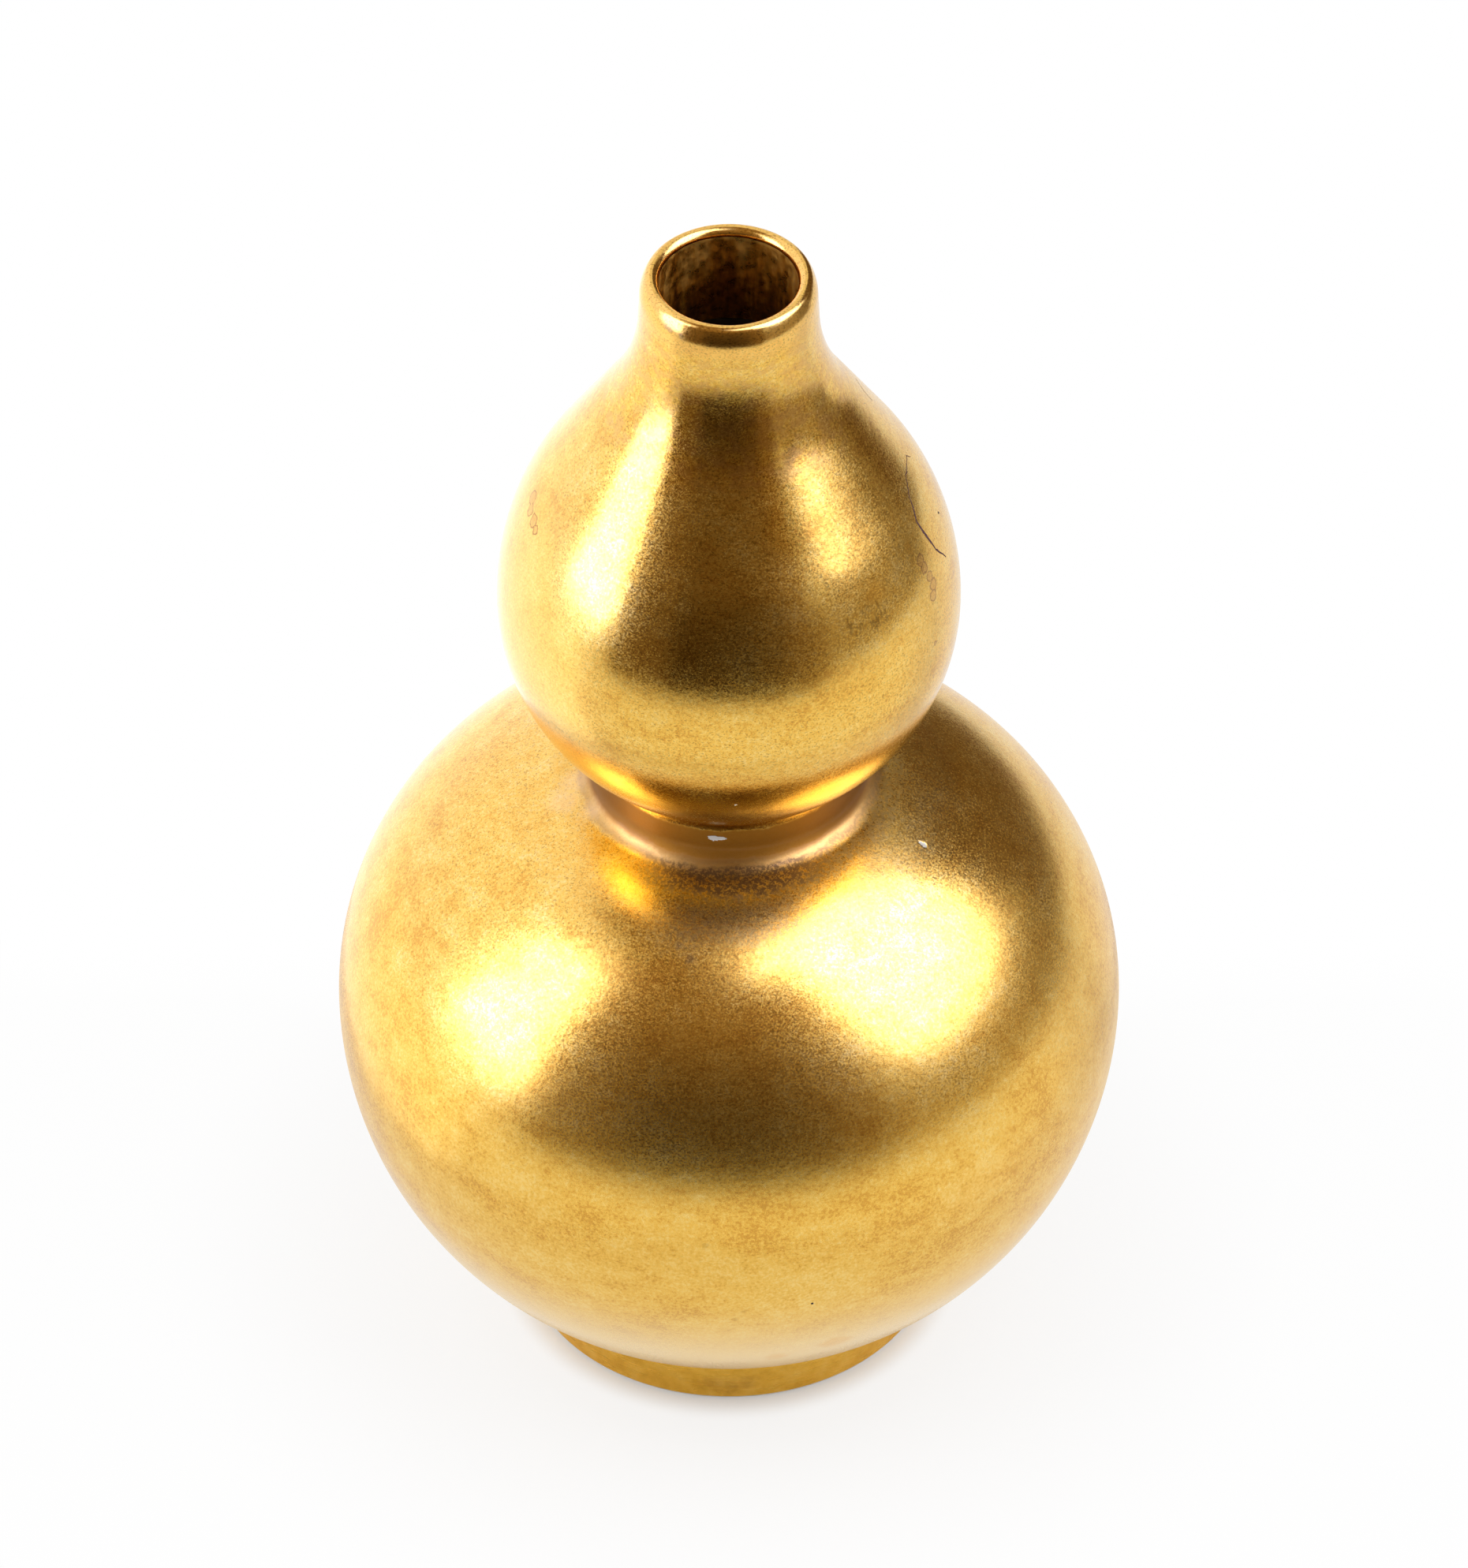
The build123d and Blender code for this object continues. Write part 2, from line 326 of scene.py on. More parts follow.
even_turns = np.linspace(0, 2 * math.pi, turn_steps, endpoint=False)


def turns_near_chips():
    """Even turns, with fine ones added round each chip."""
    finest = 0.9 * fine_step
    closest = 0.3 * fine_step / waist_radius
    turns = [even_turns]
    for azimuth, chip_z, half_width, half_height in chips:
        reach = chip_margin * half_width / waist_radius
        count = math.ceil(2 * reach * waist_radius / finest)
        turns.append(np.linspace(math.radians(azimuth) - reach, math.radians(azimuth) + reach, count))
    merged = np.sort(np.concatenate(turns) % (2 * math.pi))
    wanted = np.concatenate([[True], np.diff(merged) > closest])
    wrapped = np.where(merged > math.pi, merged - 2 * math.pi, merged)
    return wrapped[wanted]


body_outline = gourd_line(0)
fine_outline = body_outline
for azimuth, chip_z, half_width, half_height in chips:
    margin = chip_margin * half_height
    fine_outline = refined(fine_outline, chip_z - margin, chip_z + margin)
body_skin = shell("gilded_body", fine_outline, gourd_line(gilding), turns_near_chips())
foot_skin = shell("gilded_foot_band", foot_line(0), foot_line(gilding), even_turns)
mouth_skin = shell("gilded_mouth", mouth_line(0), mouth_line(gilding), even_turns)


def surface_point(azimuth, z):
    """Point on the gilded outside at an azimuth in degrees and a height, and the normal there."""
    angle = math.radians(azimuth)
    rising = body_outline[: np.argmax(body_outline[:, 1]) + 1]
    radius = np.interp(z, rising[:, 1], rising[:, 0])
    slope = (np.interp(z + row_step, rising[:, 1], rising[:, 0]) - radius) / row_step
    normal = Vector((math.sin(angle), -math.cos(angle), -slope)) / math.hypot(1, slope)
    point = Vector((radius * math.sin(angle), -radius * math.cos(angle), z))
    return point - normal * float(unevenness(np.array(angle), np.array(z))), normal


def crack(name, places, seed):
    """Open crack along its places: a thin ragged ribbon of the dirt in it."""
    random = np.random.default_rng(seed)
    route = []
    for start, end in zip(places[:-1], places[1:]):
        for share in np.linspace(0, 1, crack_steps, endpoint=False):
            route.append([a + share * (b - a) for a, b in zip(start, end)])
    route.append(list(places[-1]))
    last = len(route) - 1
    points = []
    for k, (azimuth, z, width) in enumerate(route):
        z += random.uniform(-crack_wander, crack_wander)
        here, normal = surface_point(azimuth, z)
        ahead = surface_point(*route[min(k + 1, last)][:2])[0]
        behind = surface_point(*route[max(k - 1, 0)][:2])[0]
        across = (ahead - behind).cross(normal).normalized()
        half = width / 2 * random.uniform(*ragged_shares)
        for side, lift in ((-1, crack_low), (1, crack_low), (1, crack_high), (-1, crack_high)):
            points.append(here + across * half * side + normal * lift)
    faces = []
    for k in range(last):
        for side in range(4):
            other = (side + 1) % 4
            faces.append((4 * k + side, 4 * k + other, 4 * k + 4 + other, 4 * k + 4 + side))
    faces += [(3, 2, 1, 0), (4 * last, 4 * last + 1, 4 * last + 2, 4 * last + 3)]
    return add_object(name, points, faces)


def speck(name, azimuth, z, size, seed):
    """Small crumb of dirt stuck to the gilding, as an uneven closed dome."""
    random = np.random.default_rng(seed)
    centre, normal = surface_point(azimuth, z)
    level = Vector((math.cos(math.radians(azimuth)), math.sin(math.radians(azimuth)), 0))
    upward = normal.cross(level)
    sides = crumb_sides
    reach = [size * random.uniform(*ragged_shares) for k in range(sides)]
    points = []
    for share, lift in crumb_rings:
        for k in range(sides):
            turn = 2 * math.pi * k / sides
            out = level * math.cos(turn) + upward * math.sin(turn)
            points.append(centre + out * reach[k] * share + normal * lift)
    top = len(crumb_rings) - 1
    faces = [tuple(reversed(range(sides))), tuple(range(top * sides, (top + 1) * sides))]
    for ring in range(top):
        low = ring * sides
        for k in range(sides):
            after = (k + 1) % sides
            faces.append((low + k, low + after, low + sides + after, low + sides + k))
    piece = add_object(name, points, faces)
    piece.data.shade_smooth()
    return piece


main_crack = crack("hairline_crack", main_crack_places, 5)
upper_crack = crack("upper_hairline", upper_crack_places, 6)
crumbs = [
    speck("dark_crumb", 12.35, 39.15 * MM, 0.22 * MM, 3),
    speck("side_crumb", 86.6, 130.85 * MM, 0.16 * MM, 4),
]


class Nodes:
    """Short way to build the nodes of one material or world."""

    def __init__(self, owner, output="ShaderNodeOutputMaterial"):
        owner.use_nodes = True
        self.owner = owner
        self.tree = owner.node_tree
        self.tree.nodes.clear()
        self.output = self.tree.nodes.new(output)

    def put(self, socket, value):
        """Give an input its value: another node's output, or a number or colour of its own."""
        if isinstance(value, bpy.types.NodeSocket):
            self.tree.links.new(value, socket)
        else:
            socket.default_value = value

    def add(self, kind, **values):
        """A node, with its inputs and settings given by name."""
        node = self.tree.nodes.new(kind)
        for key, value in values.items():
            name = key.replace("_", " ")
            if name in node.inputs:
                self.put(node.inputs[name], value)
            else:
                setattr(node, key, value)
        return node

    def fed(self, node, *values):
        """The node, with its first inputs given in order."""
        for socket, value in zip(node.inputs, values):
            self.put(socket, value)
        return node

    def surface(self, shader):
        """Put a shader on the surface, and return the finished material or world."""
        self.put(self.output.inputs["Surface"], shader)
        return self.owner

    def principled(self, **values):
        """Finish the material with a Principled shader, and return it."""
        return self.surface(self.add("ShaderNodeBsdfPrincipled", **values).outputs["BSDF"])

    def place(self):
        """Where each point lies on the piece."""
        return self.add("ShaderNodeTexCoord").outputs["Object"]

    def axis(self, vector, name):
        """One axis of a vector."""
        return self.add("ShaderNodeSeparateXYZ", Vector=vector).outputs[name]

    def noise(self, vector, scale, detail=3.0, roughness=0.55):
        """Noise of a scale per metre, about 0.5 on average."""
        node = self.add("ShaderNodeTexNoise", Vector=vector, Scale=scale, Detail=detail, Roughness=roughness)
        return node.outputs["Fac"]

    def stretched(self, vector, scale, turn=(0, 0, 0)):
        """A vector turned by angles in radians and scaled, which stretches the noise on it."""
        return self.add("ShaderNodeMapping", Vector=vector, Scale=scale, Rotation=turn).outputs["Vector"]

    def ramp(self, value, low, high, bottom=0.0, top=1.0):
        """Smooth step from one value to another as the input goes from low to high."""
        node = self.add(
            "ShaderNodeMapRange", interpolation_type="SMOOTHSTEP", Value=value,
            From_Min=low, From_Max=high, To_Min=bottom, To_Max=top,
        )
        return node.outputs["Result"]

    def window(self, value, low, high, soft):
        """1 between two values, falling to 0 outside them over a soft edge."""
        rise = self.ramp(value, low - soft, low + soft)
        fall = self.ramp(value, high - soft, high + soft, 1.0, 0.0)
        return self.math("MULTIPLY", rise, fall)

    def math(self, operation, *values):
        """Result of a calculation on numbers."""
        return self.fed(self.add("ShaderNodeMath", operation=operation), *values).outputs[0]

    def measure(self, operation, first, second=(0, 0, 0)):
        """Number that a calculation on one or two vectors gives."""
        node = self.add("ShaderNodeVectorMath", operation=operation)
        return self.fed(node, first, second).outputs["Value"]

    def product(self, first, *others):
        """All the values multiplied."""
        for value in others:
            first = self.math("MULTIPLY", first, value)
        return first

    def weighted(self, *parts):
        """Sum of values, each times its share."""
        total = 0.0
        for part, share in parts:
            total = self.math("MULTIPLY_ADD", part, share, total)
        return total

    def blend(self, factor, first, second):
        """Mix of two colours, each an output or three numbers."""
        node = self.add("ShaderNodeMix", data_type="RGBA")
        self.put(node.inputs[0], factor)
        for socket, value in ((node.inputs[6], first), (node.inputs[7], second)):
            self.put(socket, value if isinstance(value, bpy.types.NodeSocket) else (*value, 1))
        return node.outputs[2]

    def fade(self, factor, first, second):
        """Mix of two numbers."""
        node = self.add("ShaderNodeMix")
        for socket, value in ((node.inputs[0], factor), (node.inputs[2], first), (node.inputs[3], second)):
            self.put(socket, value)
        return node.outputs[0]

    def mixed_shader(self, factor, first, second):
        """Mix of two shaders."""
        return self.fed(self.add("ShaderNodeMixShader"), factor, first, second).outputs[0]

    def colours(self, value, stops):
        """Colour ramp with stops of (place, colour)."""
        node = self.add("ShaderNodeValToRGB", Fac=value)
        ramp = node.color_ramp
        while len(ramp.elements) < len(stops):
            ramp.elements.new(0.5)
        for element, (place, colour) in zip(ramp.elements, stops):
            element.position = place
            element.color = (*colour, 1)
        return node.outputs["Color"]

    def bump(self, height, distance, normal=None):
        """Relief of a depth in metres, on top of another's if given."""
        node = self.add("ShaderNodeBump", Strength=1.0, Distance=distance, Height=height)
        if normal is not None:
            self.put(node.inputs["Normal"], normal)
        return node.outputs["Normal"]


# Ranges that hold most of a noise's values, and the middle of them
most_of_noise = (0.3, 0.7)
middle_of_noise = (0.35, 0.65)


def from_spots(n, where, ragged, uneven, spots):
    """Distance outside the nearest round spot (azimuth in degrees, height, reach), made uneven."""
    nearest = None
    for azimuth, z, reach in spots:
        distance = n.measure("DISTANCE", where, surface_point(azimuth, z)[0])
        outside = n.math("SUBTRACT", distance, reach)
        nearest = outside if nearest is None else n.math("MINIMUM", nearest, outside)
    return n.math("ADD", nearest, n.ramp(ragged, *most_of_noise, -uneven, uneven))


# Tones of the gold from thin to thick, as (place in its noise, colour)
body_tones = (
    (0.42, (0.68, 0.35, 0.050)),
    (0.47, (0.82, 0.475, 0.076)),
    (0.53, (0.88, 0.55, 0.108)),
    (0.60, (0.92, 0.64, 0.190)),
)
foot_tones = (
    (0.34, (0.76, 0.44, 0.055)),
    (0.50, (0.84, 0.51, 0.072)),
    (0.66, (0.88, 0.56, 0.10)),
)
# Inside the mouth the darkest stops are reached through its painted shade
mouth_tones = (
    (0.32, (0.10, 0.025, 0.002)),
    (0.46, (0.32, 0.105, 0.007)),
    (0.56, (0.62, 0.26, 0.020)),
    (0.72, (0.92, 0.54, 0.100)),
)
lip_gold = (0.86, 0.50, 0.13)
# Painted reflection tint for the gold under the upper bulb
under_reflection_yellow = (0.88, 0.60, 0.055)
# Painted sheen on the brightly lit left of the upper bulb
left_sheen_gold = (0.90, 0.61, 0.23)
# Painted reflection of the lit table, low on the lower bulb
low_reflection_pale = (0.88, 0.65, 0.30)
thin_gold = (0.68, 0.38, 0.11)
pit_brown = (0.30, 0.17, 0.030)
# Painted shade on the collar's flanks
flank_shade_colour = (0.20, 0.09, 0.02)
drip_brown = (0.56, 0.27, 0.08)
drip_edge_brown = (0.32, 0.13, 0.03)
brushed_brown = (0.28, 0.15, 0.03)
smudge_brown = (0.46, 0.24, 0.05)

# Roughness from the lowest of a noise to its highest
speckled_roughness = (0.10, 0.26)
satin_roughness = (0.23, 0.34)
polished_roughness = (0.10, 0.20)
foot_roughness = (0.20, 0.40)
mouth_roughness = (0.26, 0.5)

# Depths of the fine relief
fleck_relief = 0.008 * MM
wave_relief = 0.020 * MM
brushed_relief = 0.006 * MM
foot_stroke_relief = 0.012 * MM
foot_mottle_relief = 0.015 * MM
mouth_relief = 0.010 * MM
clay_relief = 0.03 * MM
glaze_relief = 0.02 * MM
dirt_relief = 0.02 * MM

# Where the gold changes. Each pair is where the change starts and ends.
satin_heights = (88 * MM, 95 * MM)
satin_cloud_heights = (82 * MM, 118 * MM)
satin_cloud_reach = 60 * MM
polish_heights = (162.5 * MM, 164.5 * MM)
under_bulb_heights = (94 * MM, 106.5 * MM)
under_bulb_softness = 2.5 * MM
neck_heights = (147 * MM, 163.5 * MM)
neck_softness = 1.5 * MM
# Painted shade inside the mouth, darkest at the bottom of these heights
mouth_shade_heights = (155 * MM, 166 * MM)
mouth_edge_heights = (166.2 * MM, 166.6 * MM)
# Painted sheen on the upper bulb's left: its sides and heights
left_sheen_sides = (-12 * MM, -28 * MM)
left_sheen_heights = (98 * MM, 108 * MM)
# Painted reflection of the lit table low on the lower bulb: its heights
low_reflection_heights = (24 * MM, 41 * MM)

# Brown bands round the waist on the collar and in the cove, a paler line, and darker broken bands under it:
# lowest, highest and soft edge in millimetres, strength, whether it is broken up, colour and roughness
waist_raggedness = 1.3 * MM
waist_bands = (
    (82.8, 86.3, 0.8, 0.75, True, (0.30, 0.185, 0.065), 0.30),
    (87.0, 91.7, 0.3, 0.92, False, (0.42, 0.18, 0.020), 0.58),
    (87.2, 87.45, 0.12, 0.22, False, (0.60, 0.36, 0.13), 0.45),
    (86.1, 87.2, 0.25, 0.72, False, (0.42, 0.23, 0.07), 0.42),
    (85.3, 86.6, 0.20, 0.95, True, (0.13, 0.07, 0.022), 0.45),
)
patchy_left_sides = (-14 * MM, -4 * MM)
patchy_right_sides = (6 * MM, 14 * MM)
# Painted shade on the collar's left and right sides, as the camera sees them
flank_heights = (87.2 * MM, 91.5 * MM)
flank_softness = 0.4 * MM
flank_sides = (7 * MM, 17 * MM)

# Marks on the gold, made of spots of azimuth in degrees, height and reach
drip_spots = (
    (66.0, 131.2 * MM, 0.90 * MM), (66.2, 129.9 * MM, 0.85 * MM), (66.9, 128.4 * MM, 0.80 * MM),
    (67.2, 127.0 * MM, 0.85 * MM), (66.0, 125.9 * MM, 0.90 * MM), (62.6, 119.7 * MM, 0.35 * MM),
    (-83.5, 134.3 * MM, 0.75 * MM), (-80.5, 133.4 * MM, 0.9 * MM), (-76.0, 133.6 * MM, 0.9 * MM),
    (-72.8, 133.2 * MM, 0.5 * MM),
)
brushed_spots = ((36.5, 130.2 * MM, 1.0 * MM), (41.0, 130.0 * MM, 1.4 * MM), (44.0, 128.9 * MM, 1.2 * MM))
foot_smudge_spots = ((-3.5, 2.6 * MM, 0.8 * MM), (0.5, 2.4 * MM, 0.9 * MM), (4.5, 2.8 * MM, 0.7 * MM))

# Smudges, worn places and tints: strength, soft edge, colour and spots
smudges = (
    (
        0.40, 0.5 * MM, (0.22, 0.17, 0.15),
        (
            (-12.4, 82.6 * MM, 0.5 * MM), (-9.1, 82.0 * MM, 0.7 * MM), (3.0, 85.2 * MM, 0.5 * MM),
            (-42.2, 166.3 * MM, 0.3 * MM), (-32.3, 166.0 * MM, 0.25 * MM),
        ),
    ),
    (
        0.35, 0.3 * MM, (0.48, 0.25, 0.04),
        (
            (0.9, 37.1 * MM, 0.25 * MM), (1.9, 38.7 * MM, 0.15 * MM), (-3.3, 51.4 * MM, 0.15 * MM),
            (27.2, 44.7 * MM, 0.2 * MM), (45.4, 133.9 * MM, 0.12 * MM),
        ),
    ),
    (
        0.45, 1.6 * MM, (0.80, 0.42, 0.05),
        ((44.6, 132.3 * MM, 0.5 * MM), (8.1, 24.5 * MM, 0.6 * MM), (17.6, 27.1 * MM, 1.2 * MM)),
    ),
    (
        0.22, 2.0 * MM, (0.86, 0.60, 0.34),
        ((-84.0, 86.0 * MM, 1.0 * MM), (-77.0, 85.5 * MM, 1.2 * MM), (-66.0, 86.2 * MM, 0.6 * MM)),
    ),
)
drip_unevenness = 0.3 * MM
drip_softness = 0.1 * MM
drip_edge = (-0.16 * MM, 0.0)
drip_edge_softness = 0.07 * MM
spot_unevenness = 0.5 * MM
brushed_fade = (-0.5 * MM, 1.5 * MM)
foot_smudge_fade = (-0.5 * MM, 1.6 * MM)


def waist_bands_and_flank_shade(n, where, mottle, grain, gold, rough):
    """The gold and its roughness, with the bands round the waist and painted shade on the collar's flanks.
    """
    side_here = n.axis(where, "X")
    height_here = n.axis(where, "Z")
    uneven_height = n.math("MULTIPLY_ADD", mottle, waist_raggedness, height_here)
    shift = waist_raggedness / 2
    patchy = n.product(
        n.ramp(grain, 0.40, 0.55, 0.3, 1.0),
        n.ramp(side_here, *patchy_left_sides, 0.12, 1.0),
        n.ramp(side_here, *patchy_right_sides, 1.0, 0.5),
    )
    for low, high, soft, strength, broken, colour, roughness in waist_bands:
        band = n.window(uneven_height, low * MM + shift, high * MM + shift, soft * MM)
        mask = n.product(band, strength, patchy) if broken else n.product(band, strength)
        gold = n.blend(mask, gold, colour)
        rough = n.fade(mask, rough, roughness)
    # Painted shade: the collar's left and right sides are darkened
    flanks = n.product(
        n.window(height_here, *flank_heights, flank_softness),
        n.ramp(n.math("ABSOLUTE", side_here), *flank_sides, 0.0, 0.85),
    )
    return n.blend(flanks, gold, flank_shade_colour), rough


def marked(n, where, mottle, gold):
    """The gold with its dried drips, which have darker edges, its smudges and its brush strokes."""
    beyond = from_spots(n, where, mottle, drip_unevenness, drip_spots)
    gold = n.blend(n.ramp(beyond, -drip_softness, drip_softness, 0.38, 0.0), gold, drip_brown)
    on_edge = n.window(beyond, *drip_edge, drip_edge_softness)
    gold = n.blend(n.product(on_edge, 0.8), gold, drip_edge_brown)
    for strength, edge, tint, spots in smudges:
        beyond = from_spots(n, where, mottle, spot_unevenness, spots)
        gold = n.blend(n.ramp(beyond, -0.2 * edge, edge, strength, 0.0), gold, tint)
    strokes = n.noise(n.stretched(where, (1, 1, 0.14), (0.25, 0.2, 0)), 1900.0, detail=2.0)
    beyond = from_spots(n, where, mottle, spot_unevenness, brushed_spots)
    brushed = n.product(n.ramp(beyond, *brushed_fade, 0.6, 0.0), n.ramp(strokes, 0.52, 0.60))
    return n.blend(brushed, gold, brushed_brown)


def body_gold():
    """Satin gold over glaze: fine wrinkled grain, cloudy tone, waist bands, marks of use and painted light.
    """
    n = Nodes(bpy.data.materials.new("satin_gold"))
    where = n.place()
    side_here = n.axis(where, "X")
    height_here = n.axis(where, "Z")
    cloud = n.noise(where, 75.0, detail=5.0)
    mottle = n.noise(where, 330.0, detail=4.0, roughness=0.6)
    fleck = n.noise(n.stretched(where, (1, 1, 1.4)), 3400.0, detail=6.0, roughness=0.78)
    grain = n.noise(where, 2300.0, roughness=0.7)
    brushed = n.noise(n.stretched(where, (1, 1, 0.10)), 1500.0, detail=2.0)
    wiped = n.noise(n.stretched(where, (0.22, 0.22, 1), (0, 0.4, 0)), 420.0, detail=4.0, roughness=0.65)
    waves = n.noise(where, 700.0, detail=2.0)
    streaks = n.noise(
        n.stretched(where, (0.55, 0.55, 0.9), (0.5, 0.3, 0)), 900.0, detail=4.0, roughness=0.65
    )
    gold = n.colours(n.weighted((cloud, 0.21), (mottle, 0.20), (wiped, 0.17), (grain, 0.42)), body_tones)

    # Satin low on the lower bulb, giving way in clouds to speckled gold above, and a polished lip
    speckled = n.ramp(fleck, 0.38, 0.64, *speckled_roughness)
    speckled = n.math("ADD", speckled, n.ramp(cloud, *middle_of_noise, -0.01, 0.05))
    satin = n.ramp(fleck, *most_of_noise, *satin_roughness)
    satin = n.math("ADD", satin, n.ramp(cloud, *middle_of_noise, -0.02, 0.04))
    cloudy_height = n.math("MULTIPLY_ADD", cloud, satin_cloud_reach, height_here)
    in_satin = n.product(
        n.ramp(cloudy_height, *satin_cloud_heights, 1.0, 0.15),
        n.ramp(height_here, *satin_heights, 1.0, 0.0),
    )
    polished = n.ramp(height_here, *polish_heights)
    rough = n.fade(in_satin, speckled, satin)
    rough = n.fade(polished, rough, n.ramp(fleck, *most_of_noise, *polished_roughness))
    gold = n.blend(n.product(polished, 0.6), gold, lip_gold)
    pits = n.product(n.ramp(fleck, 0.37, 0.49, 0.80, 0.0), n.ramp(in_satin, 0.2, 1.0, 1.0, 0.20))
    gold = n.blend(pits, gold, pit_brown)

    # Yellower under the upper bulb, banded at the waist, and thin in slanting streaks on the neck
    # Painted reflection tint: the yellow under the upper bulb colours its reflection of the lower bulb's
    # shoulder
    under = n.window(height_here, *under_bulb_heights, under_bulb_softness)
    gold = n.blend(n.product(under, 0.8), gold, under_reflection_yellow)
    gold, rough = waist_bands_and_flank_shade(n, where, mottle, grain, gold, rough)
    on_neck = n.window(height_here, *neck_heights, neck_softness)
    gold = n.blend(n.product(on_neck, n.ramp(streaks, 0.43, 0.60, 0.0, 0.55)), gold, thin_gold)

    # Paler on the left of the upper bulb and low down by the foot, both painted light
    # Painted sheen: the brightly lit left of the upper bulb is paled
    left_sheen = n.product(
        n.ramp(side_here, *left_sheen_sides, 0.0, 0.5),
        n.ramp(cloud, 0.30, 0.60, 0.5, 1.0),
        n.ramp(height_here, *left_sheen_heights),
    )
    gold = n.blend(left_sheen, gold, left_sheen_gold)
    # Painted reflection: paler low down, where the gold reflects the lit table
    gold = n.blend(n.ramp(height_here, *low_reflection_heights, 0.85, 0.0), gold, low_reflection_pale)

    normal = n.bump(fleck, fleck_relief)
    normal = n.bump(waves, wave_relief, normal)
    normal = n.bump(brushed, brushed_relief, normal)
    return n.principled(
        Base_Color=marked(n, where, mottle, gold), Roughness=rough, Normal=normal, Metallic=1.0,
        Coat_Weight=0.15, Coat_Roughness=0.12, Coat_Tint=(1.0, 0.96, 0.90, 1),
    )


def foot_gold():
    """Deeper gold on the foot's wall, wiped on in level strokes, with a darker smudge in front."""
    n = Nodes(bpy.data.materials.new("foot_gold"))
    where = n.place()
    strokes = n.noise(n.stretched(where, (0.12, 0.12, 1)), 1500.0)
    mottle = n.noise(where, 380.0, detail=4.0, roughness=0.6)
    beyond = from_spots(n, where, mottle, spot_unevenness, foot_smudge_spots)
    smudge = n.product(n.ramp(beyond, *foot_smudge_fade, 0.5, 0.0), n.ramp(strokes, 0.35, 0.6, 0.4, 1.0))
    return n.principled(
        Base_Color=n.blend(smudge, n.colours(mottle, foot_tones), smudge_brown),
        Roughness=n.ramp(strokes, *middle_of_noise, *foot_roughness),
        Normal=n.bump(mottle, foot_mottle_relief, n.bump(strokes, foot_stroke_relief)),
        Metallic=1.0,
    )


def mouth_gold():
    """Thin brown gold that ran down inside the mouth in streaks, with painted shade darker further in."""
    n = Nodes(bpy.data.materials.new("mouth_gold"))
    where = n.place()
    height_here = n.axis(where, "Z")
    runs = n.noise(n.stretched(where, (1, 1, 0.22)), 430.0, detail=4.0, roughness=0.6)
    mottle = n.noise(where, 700.0, detail=4.0, roughness=0.65)
    tone = n.weighted((mottle, 0.30), (runs, 0.70))
    # Painted shade: the gold darkens further down inside the mouth
    tone = n.math("ADD", tone, n.ramp(height_here, *mouth_shade_heights, -0.09, 0.12))
    tone = n.math("ADD", tone, n.ramp(height_here, *mouth_edge_heights, 0.0, 0.15))
    return n.principled(
        Base_Color=n.colours(tone, mouth_tones),
        Roughness=n.ramp(mottle, *middle_of_noise, *mouth_roughness),
        Normal=n.bump(mottle, mouth_relief),
        Metallic=0.9,
    )


bare_clay = (0.70, 0.63, 0.52)
bare_unevenness = 0.3 * MM
bare_fade = (0.1 * MM, 0.2 * MM)
water_stain = (0.045, 0.038, 0.030)
stain_fade = 12 * MM
below_vase = -1.0
above_vase = 1.0


def porcelain_material(name, colour, roughness, bare_rim=below_vase, stain_z=above_vase):
    """Glazed porcelain with a faint cloudiness, bare below its rim's height and stained above another."""
    n = Nodes(bpy.data.materials.new(name))
    where = n.place()
    height_here = n.axis(where, "Z")
    cloud = n.noise(where, 220.0, detail=4.0)
    grain = n.noise(where, 2500.0)
    uneven_height = n.math("MULTIPLY_ADD", cloud, bare_unevenness, height_here)
    bare = n.ramp(uneven_height, bare_rim + bare_fade[0], bare_rim + bare_fade[1], 1.0, 0.0)
    glaze = n.blend(cloud, colour, [c * 0.92 for c in colour])
    glaze = n.blend(n.ramp(height_here, stain_z, stain_z + stain_fade), glaze, water_stain)
    glaze_roughness = n.ramp(cloud, 0, 1, roughness, roughness + 0.08)
    return n.principled(
        Base_Color=n.blend(bare, glaze, bare_clay),
        Roughness=n.math("MAXIMUM", n.product(bare, 0.8), glaze_roughness),
        Normal=n.bump(n.product(grain, bare), clay_relief, n.bump(cloud, glaze_relief)),
    )


def dirt_material(name, colour):
    """Matt dirt."""
    n = Nodes(bpy.data.materials.new(name))
    grain = n.noise(n.place(), 6000.0)
    lighter = [c * 1.8 for c in colour]
    return n.principled(
        Base_Color=n.blend(grain, colour, lighter), Roughness=0.8, Normal=n.bump(grain, dirt_relief)
    )


def paint(piece, *materials):
    """Put the materials in the piece's slots, in order."""
    slots = piece.data.materials
    for index, material in enumerate(materials):
        if index < len(slots):
            slots[index] = material
        else:
            slots.append(material)


paint(body_skin, body_gold(), porcelain_material("chipped_glaze", (0.72, 0.70, 0.68), 0.30))
paint(foot_skin, foot_gold())
paint(mouth_skin, mouth_gold())
crack_dirt = dirt_material("crack_dirt", (0.040, 0.010, 0.005))
paint(main_crack, crack_dirt)
paint(upper_crack, crack_dirt)
crumb_dirt = dirt_material("crumb_dirt", (0.012, 0.009, 0.007))
for crumb in crumbs:
    paint(crumb, crumb_dirt)

glazed = porcelain_material("glazed_porcelain", (0.80, 0.79, 0.75), 0.10, 0.3 * MM, 136 * MM)
slip = porcelain_material("slip", (0.72, 0.68, 0.60), 0.65)
for node in ("base_section", "shoulder_section", "upper_bulb_section", "neck_section"):
    paint(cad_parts[node], glazed)
for node in ("lower_bulb_seam", "waist_seam", "upper_bulb_seam"):
    paint(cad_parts[node], slip)

